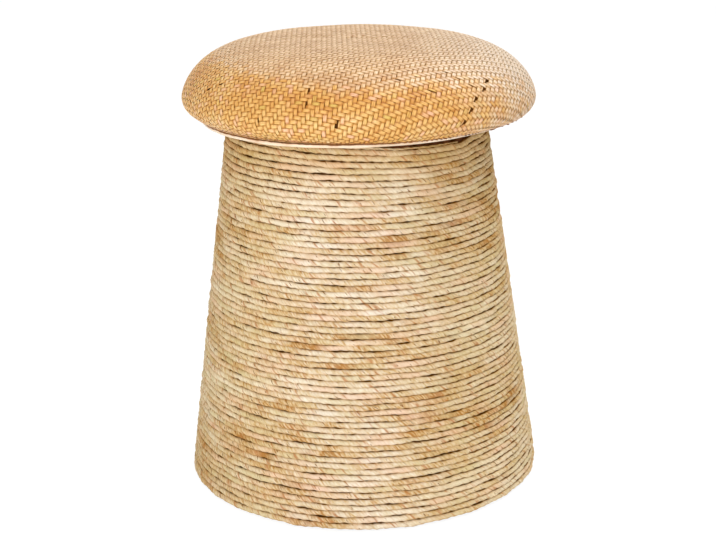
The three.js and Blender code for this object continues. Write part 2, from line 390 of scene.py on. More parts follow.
def rope_tree():
    """Sweeps a tube along a line and gives it the oval, twisted and lumpy form of a rope."""
    tree, given, result = new_tree(
        "Laid rope",
        Rope_radius=("NodeSocketFloat", rope_plumpness * rope_diameter / 2.0),
        Sides=("NodeSocketInt", rope_sides),
        Lay=("NodeSocketFloat", rope_lay),
        Flattening=("NodeSocketFloat", rope_flattening),
        Lumps=("NodeSocketFloat", rope_lumps),
        Drum_lean=("NodeSocketFloat", drum_lean),
        Finish=("NodeSocketMaterial", None),
    )
    path = add_node(tree, "GeometryNodeMeshToCurve", {"Mesh": given.outputs["Geometry"]})
    section = add_node(
        tree,
        "GeometryNodeCurvePrimitiveCircle",
        {"Resolution": given.outputs["Sides"], "Radius": given.outputs["Rope radius"]},
    )
    tube = add_node(
        tree,
        "GeometryNodeCurveToMesh",
        {
            "Curve": path.outputs[0],
            "Profile Curve": section.outputs[0],
            "Scale": read_attribute(tree, "girth", "FLOAT"),
            "Fill Caps": True,
        },
    )
    place = add_node(tree, "GeometryNodeInputPosition").outputs[0]
    facing = add_node(tree, "GeometryNodeInputNormal").outputs[0]
    radial = vector_calc(tree, "NORMALIZE", vector_calc(tree, "MULTIPLY", place, (1.0, 1.0, 0.0)))
    _, _, rise = parts_of(tree, facing)
    outness = vector_calc(tree, "DOT_PRODUCT", facing, radial)
    lean_cos = calc(tree, "COSINE", given.outputs["Drum lean"])
    lean_sin = calc(tree, "SINE", given.outputs["Drum lean"])
    out_part = calc(tree, "MULTIPLY_ADD", outness, lean_cos, calc(tree, "MULTIPLY", rise, lean_sin))
    risen = calc(tree, "MULTIPLY", rise, lean_cos)
    up_part = calc(tree, "SUBTRACT", risen, calc(tree, "MULTIPLY", outness, lean_sin))
    laid = read_attribute(tree, "laid", "FLOAT")
    marked = add_node(
        tree,
        "GeometryNodeStoreNamedAttribute",
        {
            "Geometry": tube.outputs[0],
            "Name": "section",
            "Value": joined(tree, out_part, up_part, laid),
        },
        data_type="FLOAT_VECTOR",
        domain="POINT",
    )
    around = calc(tree, "ARCTAN2", up_part, out_part)
    twist = calc(tree, "MULTIPLY", calc(tree, "DIVIDE", laid, given.outputs["Lay"]), 2.0 * math.pi)
    laid_angle = calc(tree, "SUBTRACT", around, twist)
    oval = calc(tree, "COSINE", calc(tree, "MULTIPLY", laid_angle, 2.0))
    lump = twisted_noise(tree, laid_angle, laid, turns=lumps_around, stretch=lumps_along)
    lump = calc(tree, "MULTIPLY", calc(tree, "SUBTRACT", lump, 0.5), given.outputs["Lumps"])
    swelling = calc(tree, "MULTIPLY_ADD", oval, given.outputs["Flattening"], lump)
    shaped = add_node(
        tree,
        "GeometryNodeSetPosition",
        {
            "Geometry": marked.outputs[0],
            "Offset": vector_calc(tree, "SCALE", facing, scale=swelling),
        },
    )
    close_tree(tree, shaped.outputs[0], given.outputs["Finish"], result)
    return tree


def socket_identifiers(tree):
    return {
        item.name: item.identifier
        for item in tree.interface.items_tree
        if item.item_type == "SOCKET" and item.in_out == "INPUT"
    }


def new_object(name, data):
    made = bpy.data.objects.new(name, data)
    bpy.context.scene.collection.objects.link(made)
    return made


def flat_mesh(piece):
    """The mesh that a piece's modifiers give."""
    depsgraph = bpy.context.evaluated_depsgraph_get()
    return bpy.data.meshes.new_from_object(piece.evaluated_get(depsgraph))


def grow(name, mesh, tree, **values):
    """A piece with the mesh that a tree of Geometry Nodes makes of a plain one."""
    seedling = new_object(name + "_seedling", mesh)
    modifier = seedling.modifiers.new("grow", "NODES")
    modifier.node_group = tree
    identifiers = socket_identifiers(tree)
    for label, value in values.items():
        modifier[identifiers[label.replace("_", " ")]] = value
    grown = flat_mesh(seedling)
    bpy.data.objects.remove(seedling)
    return new_object(name, grown)


def noise_along(tree, laid, scale, detail=2.0, shift=0.0):
    return add_node(
        tree,
        "ShaderNodeTexNoise",
        {"W": calc(tree, "ADD", laid, shift), "Scale": scale, "Detail": detail},
        noise_dimensions="1D",
    ).outputs[0]


def spread(tree, value, gain):
    """Moves a value away from 0.5."""
    return calc(tree, "MULTIPLY_ADD", value, gain, 0.5 - 0.5 * gain)


def past(tree, value, start, gain):
    """0 up to the start, then rising to 1."""
    above = calc(tree, "SUBTRACT", value, start, clamp=True)
    return calc(tree, "MULTIPLY", above, gain, clamp=True)


def short_of(tree, value, end, gain):
    """Falling from 1, then 0 from the end on."""
    below = calc(tree, "SUBTRACT", end, value, clamp=True)
    return calc(tree, "MULTIPLY", below, gain, clamp=True)


def husk_colour(tree, fibre, laid, patch):
    """Dry leaf from brown to straw, with pinkish, greenish and bleached lengths."""
    leaf = twisted_noise(tree, fibre, laid, turns=1.3, stretch=230.0, detail=3.0)
    length_tone = noise_along(tree, laid, scale=11.0)
    broad = calc(tree, "MULTIPLY_ADD", length_tone, 0.30, calc(tree, "MULTIPLY", patch, 0.36))
    mixed = calc(tree, "MULTIPLY_ADD", leaf, 0.34, broad)
    husk = colour_ramp(
        tree,
        spread(tree, mixed, gain=4.7),
        (
            (0.00, (0.50, 0.24, 0.075)),
            (0.15, (0.67, 0.44, 0.200)),
            (0.34, (0.78, 0.60, 0.365)),
            (0.52, (0.83, 0.69, 0.485)),
            (0.72, (0.88, 0.76, 0.590)),
            (0.95, (0.95, 0.86, 0.710)),
        ),
    )
    hue = spread(tree, noise_along(tree, laid, scale=15.0, shift=70.0), gain=3.4)
    husk = blend_colours(tree, past(tree, hue, 0.56, gain=0.95), husk, (0.92, 0.69, 0.53))
    husk = blend_colours(tree, short_of(tree, hue, 0.40, gain=0.75), husk, (0.76, 0.67, 0.41))
    bleach = noise_along(tree, laid, scale=21.0, detail=1.0, shift=110.0)
    bleach_and_sheen = past(tree, bleach, 0.60, gain=4.5)
    return blend_colours(tree, bleach_and_sheen, husk, (0.92, 0.87, 0.77), share=0.55)


def drum_painted_shade(tree, husk, beside, near_seat):
    """Painted shade: yellower and darker away from the middle, duller in a band on the right, and darker
    near the seat, under the rim, where some soil is painted too.
    """
    off_middle = calc(tree, "ABSOLUTE", calc(tree, "ADD", beside, 0.012))
    side_shade = past(tree, off_middle, 0.035, gain=15.0)
    husk = blend_colours(tree, side_shade, husk, (0.975, 0.935, 0.800), "MULTIPLY")
    off_band = calc(tree, "ABSOLUTE", calc(tree, "SUBTRACT", beside, 0.078))
    band_shade = calc(tree, "MULTIPLY_ADD", off_band, -22.0, 1.0, clamp=True)
    husk = blend_colours(tree, band_shade, husk, (0.95, 0.93, 0.91), "MULTIPLY")
    return blend_colours(tree, near_seat, husk, (0.85, 0.77, 0.61), "MULTIPLY")


def fold(tree, fibre, laid, offset, drift, width, rarity, seed):
    """A line that swings round the rope as it follows the fibres, and comes and goes."""
    swing = noise_along(tree, laid, scale=drift, detail=1.0)
    swing = calc(tree, "MULTIPLY_ADD", swing, 5.0, offset)
    nearness = calc(tree, "COSINE", calc(tree, "ADD", fibre, swing))
    line = past(tree, nearness, 1.0 - width, gain=1.0 / width)
    showing = noise_along(tree, laid, scale=60.0, detail=1.0, shift=seed)
    return calc(tree, "MULTIPLY", line, past(tree, showing, rarity, gain=6.0))


def fibre_spots(tree, fibre, laid, turns, stretch, rarity, gain, extra):
    """Spots drawn out along the fibres; the extra makes more of them."""
    level = twisted_noise(tree, fibre, laid, turns, stretch, detail=1.0)
    level = calc(tree, "ADD", calc(tree, "SUBTRACT", level, rarity), extra)
    return calc(tree, "MULTIPLY", level, gain, clamp=True)


def rope_finish():
    material, tree, shader = new_finish("twisted leaf", roughness=0.9, shine=0.0)
    section = add_node(tree, "ShaderNodeAttribute", attribute_name="section").outputs["Vector"]
    out_part, up_part, laid = parts_of(tree, section)
    around = calc(tree, "ARCTAN2", up_part, out_part)
    fibre = calc(tree, "MULTIPLY_ADD", laid, -2.0 * math.pi / rope_lay, around)
    place = object_place(tree)
    beside, _, height = parts_of(tree, place)
    far_left = short_of(tree, beside, -0.02, gain=9.0)
    far_right = past(tree, beside, 0.045, gain=6.0)
    near_seat = past(tree, height, 0.285, gain=14.5)
    near_seat = calc(tree, "MULTIPLY", near_seat, near_seat)
    patch = noise(tree, stretched(tree, place, (0.45, 0.45, 1.25)), scale=12.0, detail=3.0)

    husk = husk_colour(tree, fibre, laid, patch)
    husk = drum_painted_shade(tree, husk, beside, near_seat)
    fibres = twisted_noise(tree, fibre, laid, turns=7.0, stretch=60.0, detail=3.0)
    streaks = colour_ramp(tree, fibres, ((0.30, (0.84, 0.77, 0.68)), (0.58, (1.0, 1.0, 1.0))))
    husk = blend_colours(tree, 1.0, husk, streaks, "MULTIPLY")

    yarn = (tree, fibre, laid)
    # The folds are also pressed in by the relief below; their darker colour is painted shade in them.
    wide_fold = fold(*yarn, offset=0.0, drift=17.0, width=0.12, rarity=0.58, seed=3.0)
    thin_fold = fold(*yarn, offset=2.6, drift=14.0, width=0.08, rarity=0.60, seed=8.0)
    folds = calc(tree, "MAXIMUM", wide_fold, thin_fold, clamp=True)
    husk = blend_colours(tree, folds, husk, (0.42, 0.235, 0.085), share=0.38)

    more_rust = calc(tree, "MULTIPLY", far_left, 0.022)
    more_knots = calc(tree, "MULTIPLY", far_left, 0.032)
    rust = fibre_spots(*yarn, turns=0.8, stretch=85.0, rarity=0.612, gain=8.0, extra=more_rust)
    knots = fibre_spots(*yarn, turns=1.4, stretch=190.0, rarity=0.690, gain=16.0, extra=more_knots)
    husk = blend_colours(tree, rust, husk, (0.50, 0.185, 0.055), share=0.75)
    husk = blend_colours(tree, knots, husk, (0.26, 0.100, 0.025))

    # Painted shade: the rope darkens where its surface turns away from the drum's outside.
    painted_flank_shade = short_of(tree, out_part, 0.96, gain=0.60)
    husk = blend_colours(tree, painted_flank_shade, husk, (0.55, 0.31, 0.090))
    # Painted shade in the grooves between turns: uneven along them, stronger on the far right and near
    # the seat, weaker on the far left.
    flank = calc(tree, "MULTIPLY", calc(tree, "SUBTRACT", 0.66, out_part, clamp=True), 2.6)
    underside = calc(tree, "LESS_THAN", up_part, 0.0)
    groove_shade_place = calc(tree, "MULTIPLY_ADD", underside, 20.0, calc(tree, "ADD", laid, 40.0))
    groove_shade = spread(tree, noise_along(tree, groove_shade_place, scale=78.0, detail=3.0), gain=5.0)
    groove_shade = calc(tree, "ADD", groove_shade, calc(tree, "MULTIPLY_ADD", patch, -1.6, 0.79))
    for region, more in ((far_right, 1.25), (near_seat, 0.33), (far_left, -0.46)):
        groove_shade = calc(tree, "MULTIPLY_ADD", region, more, groove_shade)
    painted_groove_shade = calc(tree, "MULTIPLY", flank, groove_shade, clamp=True)
    husk = blend_colours(tree, painted_groove_shade, husk, (0.235, 0.097, 0.012))

    # Painted shade: thin dark cracks along the fibres.
    crack = fold(*yarn, offset=4.4, drift=15.0, width=0.05, rarity=0.70, seed=15.0)
    husk = blend_colours(tree, crack, husk, (0.19, 0.080, 0.022), share=0.85)
    relief = calc(tree, "MULTIPLY_ADD", folds, -1.0, calc(tree, "MULTIPLY", fibres, 0.8))
    dress(tree, shader, husk, relief, depth=0.0007, strength=0.8)
    return material


points, laid, girth = rope_path()
rope_growth = rope_tree()
twisted_leaf = rope_finish()
cuts = np.linspace(0, len(points) - 1, rope_pieces + 1).astype(int)
for i in range(rope_pieces):
    stretch = slice(cuts[i], cuts[i + 1] + 1)
    rope_line = line_mesh("rope line", points[stretch], laid=laid[stretch], girth=girth[stretch])
    rope = grow(f"rope_{i + 1}", rope_line, rope_growth, Finish=twisted_leaf)
    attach(rope, "root")
    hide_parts("rope_winding")

# Rope tail
# Under the rim the rope thins out to a single strand, which lies on the last turn and is
# tucked in where the winding ends.

tail_share = 0.42
tail_span = (0.035, 0.300)
tail_stand_off = 0.0006
tail_wave = 0.0003
tail_wave_rate = 90.0
tail_tip = 0.12
tail_fullness = 0.35
tail_pattern_shift = 3.1

tail_start, tail_end = (
    int((rope_turns - 1.0 + share) * rope_steps_per_turn) for share in tail_span
)
tail = slice(tail_start, tail_end)
outward_way = normalised(points[tail] * (1.0, 1.0, 0.0))
up_the_drum = outward_way * -math.sin(drum_lean) + (0.0, 0.0, math.cos(drum_lean))
tail_points = points[tail] + up_the_drum * rope_diameter * (0.5 + 0.5 * tail_share)
stand_off = tail_stand_off + tail_wave * np.sin(laid[tail] * tail_wave_rate)
tail_points = tail_points + outward_way * stand_off[:, None]
tail_taper = np.sin(np.linspace(tail_tip, np.pi - tail_tip, tail_end - tail_start)) ** tail_fullness
tail_line = line_mesh(
    "tail line",
    tail_points,
    laid=laid[tail] + tail_pattern_shift,
    girth=girth[tail] * tail_share * tail_taper,
)
rope_tail = grow("rope_tail", tail_line, rope_growth, Finish=twisted_leaf)
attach(rope_tail, "root")
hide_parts("rope_winding")

# Seat board
# A round of the same plywood, screwed down on the neck ring. It carries the foam.

finish_nodes(plywood, "seat_board")

# Seat pad
# A dome of foam under a dark calico, glued on the board and pulled in under its edge. The
# woven mat hides it but for the slits between the strips.

mat_low, mat_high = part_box("woven_cover")
seat_radius = mat_high[0]
seat_top = mat_high[2]
tuck_height = mat_low[2]
tuck_radius = 0.1503
tuck_margin = 0.003
tuck_rise = 0.019
widest_height = tuck_height + tuck_rise
crown_flatness = 4.7
crown_shoulder = 1.57
board_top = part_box("seat_board")[1][2]
glue_line = board_top + 0.0005
glued_below = board_top + 0.004
pad_depth = 0.0052
pad_steps = 26
pad_spokes = 64
pad_voxel = 0.006
pad_pressure = 4.0
pad_frames = 20
pad_swell = 0.0024
seat_sag = 0.0012
seat_slope = 0.0143
seat_drift = 0.0025
sag_fade = 0.012


def dome_profile(depth, steps):
    """Radii and heights of the seat's half outline, a depth below it, from top to tuck."""
    reach = seat_radius - depth
    rise = seat_top - widest_height - depth
    drop = widest_height - tuck_height - depth
    crown = np.linspace(0.0, np.pi / 2.0, steps)
    over_r = reach * np.sin(crown) ** (2.0 / crown_flatness)
    over_z = widest_height + rise * np.cos(crown) ** (2.0 / crown_shoulder)
    tuck = np.linspace(0.0, np.pi / 2.0, steps // 2)[1:]
    under_r = tuck_radius + (reach - tuck_radius) * np.cos(tuck)
    under_z = widest_height - drop * np.sin(tuck)
    return np.concatenate((over_r, under_r)), np.concatenate((over_z, under_z))


def settled(places):
    """The finished seat has sunk and slid a little to its right side."""
    radius = np.hypot(places[:, 0], places[:, 1])
    free = smooth_step(places[:, 2] - tuck_height, 0.0, sag_fade)
    free = np.maximum(free, smooth_step(radius - tuck_radius, tuck_margin, sag_fade))
    sunk = places.copy()
    sunk[:, 0] += free * seat_drift
    sunk[:, 2] -= free * (seat_sag + seat_slope * places[:, 0])
    return sunk


def finished_mesh(name, shape):
    bmesh.ops.recalc_face_normals(shape, faces=shape.faces)
    mesh = bpy.data.meshes.new(name)
    shape.to_mesh(mesh)
    shape.free()
    return mesh


def spun_mesh(name, radii, heights, steps):
    shape = bmesh.new()
    line = [shape.verts.new((r, 0.0, z)) for r, z in zip(radii, heights)]
    edges = [shape.edges.new(pair) for pair in zip(line, line[1:])]
    bmesh.ops.spin(
        shape,
        geom=line + edges,
        cent=(0.0, 0.0, 0.0),
        axis=(0.0, 0.0, 1.0),
        angle=2.0 * math.pi,
        steps=steps,
        use_merge=True,
    )
    bmesh.ops.remove_doubles(shape, verts=shape.verts, dist=0.00001)
    return finished_mesh(name, shape)


def show(name, mesh, material):
    piece = new_object(name, mesh)
    mesh.materials.clear()
    mesh.materials.append(material)
    mesh.polygons.foreach_set("use_smooth", [True] * len(mesh.polygons))
    return piece


def vertex_places(mesh):
    places = np.empty(len(mesh.vertices) * 3)
    mesh.vertices.foreach_get("co", places)
    return places.reshape(-1, 3)


def swell(mesh):
    """Blow the remeshed pad up as cloth, held where it is glued to the board."""
    puffed = new_object("swelling", mesh)
    remesh = puffed.modifiers.new("remesh", "REMESH")
    remesh.mode = "VOXEL"
    remesh.voxel_size = pad_voxel
    puffed.data = flat_mesh(puffed)
    puffed.modifiers.clear()
    before = vertex_places(puffed.data)
    glued = puffed.vertex_groups.new(name="glued")
    glued.add([int(i) for i in np.flatnonzero(before[:, 2] < glued_below)], 1.0, "REPLACE")
    cloth = puffed.modifiers.new("cloth", "CLOTH")
    cloth.settings.use_pressure = True
    cloth.settings.uniform_pressure_force = pad_pressure
    cloth.settings.vertex_group_mass = "glued"
    cloth.settings.effector_weights.gravity = 0.0
    for frame_number in range(1, pad_frames + 1):
        bpy.context.scene.frame_set(frame_number)
    moved = vertex_places(flat_mesh(puffed)) - before
    puffed.modifiers.clear()
    reach = np.linalg.norm(moved, axis=1, keepdims=True)
    moved *= np.minimum(1.0, pad_swell / np.maximum(reach, 1e-9))
    puffed.data.vertices.foreach_set("co", (before + moved).ravel())
    bpy.context.scene.frame_set(1)
    swollen = puffed.data
    bpy.data.objects.remove(puffed)
    swollen.vertices.foreach_set("co", settled(vertex_places(swollen)).ravel())
    return swollen


pad_radii, pad_heights = dome_profile(pad_depth, pad_steps)
pad_radii = np.concatenate((pad_radii, [tuck_radius, 0.0]))
pad_heights = np.concatenate((pad_heights, [glue_line, glue_line]))
pad_blank = spun_mesh("seat pad", pad_radii, pad_heights, pad_spokes)
brown_calico = grained_finish(
    "brown calico",
    grain=(1500.0, 1500.0, 1500.0),
    detail=2.0,
    stops=((0.3, (0.26, 0.090, 0.020)), (0.7, (0.42, 0.170, 0.045))),
    relief_depth=0.0003,
    roughness=0.9,
    shine=0.0,
)
pad = show("seat_pad", swell(pad_blank), brown_calico)
rounding = pad.modifiers.new("rounding", "SUBSURF")
rounding.levels = 1
rounding.render_levels = 1
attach(pad, "root")
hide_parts("seat_foam")

# Woven mat
# Split cane strips nearly 4 mm wide, woven in a two-over-two-under twill and shaped over
# the pad. Each visible stretch of a strip crosses two others and dips under the next. The
# top is paler, partly worn where it is sat on and partly a painted sheen that spreads
# towards the right. Strip edges, float ends and the line above the tuck carry painted
# shade. A few strips have split.

strip_pitch = 0.003934
strip_width = 0.00385
strip_girths = (0.96, 1.03)
broader_across = 0.035
narrower_along = 0.018
strip_wobble = 0.00007
strip_lift = 0.00005
split_shift = 0.55
split_sink = 0.0003
float_depth = 0.00045
mat_half = 66
mat_margin = 0.7
mat_pieces = 4
mat_seed = 11
mat_inset = 0.0004
mat_shift = (0.13, -2.3)
mat_turn = math.radians(-17.5)
mat_twist = math.radians(7.6)
mat_swirl = math.radians(2.8)
mat_stretch = 0.038
shoulder_start = 0.110
shoulder_length = 0.090
dome_steps = 400
dome_lumps = 0.0004
dome_waves = ((3.0, 1.0, 0.031, 0.0), (7.0, 4.0, 0.019, 2.0))
crown_lumps = 1.2
crown_reach = 0.2
dome_heart = (0.0, 0.0, widest_height - 0.03)
slope_probe = 0.001
bend_probe = 0.004
pale_top_reach = 0.1605
pale_top_scatter = 0.004
pale_top_blur = 0.015
rubbed_reach = 0.206
rubbed_lighter = 0.27
fringe_darker = 0.30
grime_darker = 0.42
broken_floats = (
    ("along", 37, 0.36, (-24, -20)),
    ("along", 36, 0.36, (-37, -33, -29)),
    ("along", 8, 0.36, (-49,)),
    ("along", 0, 0.66, (-45, -41)),
    ("along", -12, 0.72, (-49,)),
    ("across", -24, 0.66, (30, 34)),
    ("across", -23, 0.72, (27,)),
    ("across", -32, 0.66, (18, 26)),
    ("across", -35, 0.58, (-29, -25)),
)


def dome_map():
    """Down the dome: lengths, radii and heights, and the same lengths on the flat mat."""
    radii, heights = dome_profile(float_depth, dome_steps)
    lengths = np.concatenate(([0.0], np.cumsum(np.hypot(np.diff(radii), np.diff(heights)))))
    eased = smooth_step(lengths, shoulder_start, shoulder_length)
    return lengths, radii, heights, lengths * (1.0 + mat_stretch * eased)


dome_lengths, dome_radii, dome_heights, mat_lengths = dome_map()
mat_reach = mat_lengths[-1]


def dome_polar(flat):
    """Places on the flat mat as lengths down the dome and angles round it."""
    length = np.interp(np.hypot(flat[:, 0], flat[:, 1]), mat_lengths, dome_lengths)
    eased = smooth_step(length, shoulder_start, shoulder_length)
    direction = np.arctan2(flat[:, 1], flat[:, 0]) + mat_turn + mat_swirl * eased
    angle = direction
    for _ in range(5):
        angle = direction + mat_twist * eased * np.cos(angle)
    return length, angle


def on_dome(flat):
    """Where points of the flat mat come to lie on the finished seat."""
    length, angle = dome_polar(flat)
    radius = np.interp(length, dome_lengths, dome_radii)
    height = np.interp(length, dome_lengths, dome_heights)
    lumps = dome_lumps * sum(
        np.sin(count * angle + turn) * np.sin(length / wavelength + start)
        for count, turn, wavelength, start in dome_waves
    )
    height = height + lumps * np.clip(1.0 - length / crown_reach, 0.0, 1.0) * crown_lumps
    radius = radius + lumps * smooth_step(length, 0.15, 0.04) - mat_inset
    return settled(np.stack((radius * np.cos(angle), radius * np.sin(angle), height), axis=1))


def split_floats(lengthwise, strip, step):
    """The share of its width that a strip keeps, where it has split and lost a sliver."""
    kept = np.ones(len(strip))
    for direction, number, share, steps in broken_floats:
        same = (lengthwise == (direction == "along")) & (strip == number)
        kept[same & np.isin(step, steps)] = share
    return kept


def woven_floats():
    """Each visible stretch of strip: which way it runs, its strip, step, run and flat place."""
    cells = np.arange(-mat_half, mat_half + 1)
    column, row = (axis.ravel() for axis in np.meshgrid(cells, cells, indexing="ij"))
    twill = (column - row) % 4
    starts = (twill == 1) | (twill == 2)
    column, row, lengthwise = column[starts], row[starts], twill[starts] == 1
    run = np.where(lengthwise[:, None], [[0.0, 1.0]], [[1.0, 0.0]])
    flat = strip_pitch * (np.stack((column, row), axis=1) + 0.5 * run + mat_shift)
    inside = np.hypot(flat[:, 0], flat[:, 1]) < mat_reach - mat_margin * strip_pitch
    strip = np.where(lengthwise, column, row)
    step = np.where(lengthwise, row, column)
    return [values[inside] for values in (lengthwise, strip, step, run, flat)]


def hump(values, middle, width):
    return np.exp(-(((values - middle) / width) ** 2))


def wear(length, facing_right, rng):
    """How pale a stretch is, from wear and painted sheen, and how much its place on the seat lightens or
    darkens it.
    """
    # The pale top is partly wear and partly painted sheen; its edge reaches further down on the right.
    pale_top_edge = pale_top_reach + 0.0135 * np.minimum(facing_right, 0.0)
    pale_top_edge += 0.036 * smooth_step(facing_right, 0.60, 0.36)
    pale_top_edge -= 0.005 * hump(facing_right, 0.40, 0.18)
    blurred = smooth_step(facing_right, 0.35, 0.5)
    past_edge = length - pale_top_edge
    ragged = past_edge + rng.normal(0.0, pale_top_scatter, len(length)) * (1.0 + 1.8 * blurred)
    sheen_and_wear = 1.0 - smooth_step(ragged / (pale_top_blur * (1.0 + 2.0 * blurred)) + 0.5)
    # Painted sheen: pale specks spread over the right side.
    speckled = smooth_step(facing_right, 0.40, 0.4) * rng.uniform(0.0, 0.85, len(length))
    sheen_and_wear = np.maximum(sheen_and_wear, speckled)
    fringe = hump(past_edge, 0.012, 0.012) * (1.0 - sheen_and_wear)
    fringe *= smooth_step((0.85 - np.abs(facing_right)) / 0.5)
    grimy = hump(past_edge, -0.010, 0.011) * sheen_and_wear
    grimy *= smooth_step((0.75 - np.abs(facing_right - 0.15)) / 0.4)
    rubbed = hump(length, rubbed_reach, 0.014) * smooth_step(0.75 - facing_right)
    return sheen_and_wear, rubbed_lighter * rubbed - fringe_darker * fringe - grime_darker * grimy


def mat_points():
    """Where each stretch of strip lies, how it is turned, sized and bent, and its colour."""
    rng = np.random.default_rng(mat_seed)
    lengthwise, strip, step, run, flat = woven_floats()
    cross = run[:, ::-1]
    kept = split_floats(lengthwise, strip, step)
    which = (lengthwise.astype(int), strip + mat_half)
    strips_each_way = (2, 2 * mat_half + 1)
    strip_tone = rng.uniform(0.0, 1.0, strips_each_way)[which]
    strip_blush = rng.uniform(0.0, 1.0, strips_each_way)[which]
    strip_shift = rng.normal(0.0, strip_wobble, strips_each_way)[which]
    strip_girth = rng.uniform(*strip_girths, strips_each_way)
    strip_girth[0] += broader_across
    strip_girth[1] -= narrower_along
    side = np.where(rng.uniform(size=len(strip)) < 0.5, -1.0, 1.0)
    sideways = strip_shift + split_shift * strip_pitch * side * (1.0 - kept)
    flat = flat + cross * sideways[:, None]
    place = on_dome(flat)
    along = on_dome(flat + slope_probe * run) - on_dome(flat - slope_probe * run)
    across = on_dome(flat + slope_probe * cross) - on_dome(flat - slope_probe * cross)
    bend = on_dome(flat + bend_probe * run) + on_dome(flat - bend_probe * run) - 2.0 * place
    length_share = np.linalg.norm(along, axis=1) / (2.0 * slope_probe)
    width_share = np.linalg.norm(across, axis=1) / (2.0 * slope_probe)
    normal = normalised(np.cross(along, across))
    normal *= np.sign(np.sum(normal * (place - dome_heart), axis=1))[:, None]
    length, angle = dome_polar(flat)
    sheen_and_wear, lighter = wear(length, np.cos(angle), rng)
    tone = 0.40 * strip_tone + 0.60 * rng.uniform(0.0, 1.0, len(strip)) + lighter
    blush = 0.5 * strip_blush + 0.5 * rng.uniform(0.0, 1.0, len(strip))
    lift = rng.normal(0.0, strip_lift, len(strip)) - split_sink * (1.0 - kept)
    girth = strip_girth[which] * kept
    return {
        "place": place + normal * lift[:, None],
        "along_axis": normalised(along),
        "normal_axis": normal,
        "stretch": np.stack((length_share, width_share * girth, np.ones(len(strip))), axis=1),
        "bend": bend / bend_probe**2,
        "tone": tone,
        "blush": blush,
        "sheen_and_wear": sheen_and_wear,
    }


def strip_float():
    """One visible stretch of a strip: arched, and dipping at both ends."""
    millimetre = 0.001
    stations = ((0.0, 0.30), (1.8, 0.25), (3.0, 0.08), (4.0, -0.22), (5.0, -0.50))
    stations = [(-x, z) for x, z in stations[:0:-1]] + list(stations)
    section = ((-0.5, -0.18), (-0.35, -0.04), (0.0, 0.04), (0.35, -0.04), (0.5, -0.18), (0.0, -0.60))
    shape = bmesh.new()
    rings = []
    for x, z in stations:
        ring = [(x * millimetre, y * strip_width, (z + dz) * millimetre) for y, dz in section]
        rings.append([shape.verts.new(corner) for corner in ring])
    for a, b in zip(rings, rings[1:]):
        for i in range(len(section)):
            j = (i + 1) % len(section)
            shape.faces.new((a[i], b[i], b[j], a[j]))
    shape.faces.new(rings[0][::-1])
    shape.faces.new(rings[-1])
    mesh = finished_mesh("strip float", shape)
    grain = mesh.attributes.new("grain", "FLOAT_VECTOR", "POINT")
    grain.data.foreach_set("vector", [c for v in mesh.vertices for c in v.co])
    return new_object("strip_template", mesh)


def mat_tree():
    """Lays a strip at each point, turned and sized by it, and bends it to the dome."""
    tree, given, result = new_tree(
        "Woven strips",
        Strip=("NodeSocketObject", None),
        Finish=("NodeSocketMaterial", None),
    )
    strip = add_node(tree, "GeometryNodeObjectInfo", {"Object": given.outputs["Strip"]})
    turned = add_node(
        tree,
        "FunctionNodeAxesToRotation",
        {
            0: read_attribute(tree, "normal_axis"),
            1: read_attribute(tree, "along_axis"),
        },
        primary_axis="Z",
        secondary_axis="X",
    )
    cloud = add_node(tree, "GeometryNodeMeshToPoints", {"Mesh": given.outputs["Geometry"]})
    laid_out = add_node(
        tree,
        "GeometryNodeInstanceOnPoints",
        {
            "Points": cloud.outputs[0],
            "Instance": strip.outputs["Geometry"],
            "Rotation": turned.outputs[0],
            "Scale": read_attribute(tree, "stretch"),
        },
    )
    plain = add_node(tree, "GeometryNodeRealizeInstances", {"Geometry": laid_out.outputs[0]})
    run, _, _ = parts_of(tree, read_attribute(tree, "grain"))
    half_square = calc(tree, "MULTIPLY", calc(tree, "MULTIPLY", run, run), 0.5)
    bent = add_node(
        tree,
        "GeometryNodeSetPosition",
        {
            "Geometry": plain.outputs[0],
            "Offset": vector_calc(tree, "SCALE", read_attribute(tree, "bend"), scale=half_square),
        },
    )
    close_tree(tree, bent.outputs[0], given.outputs["Finish"], result)
    return tree


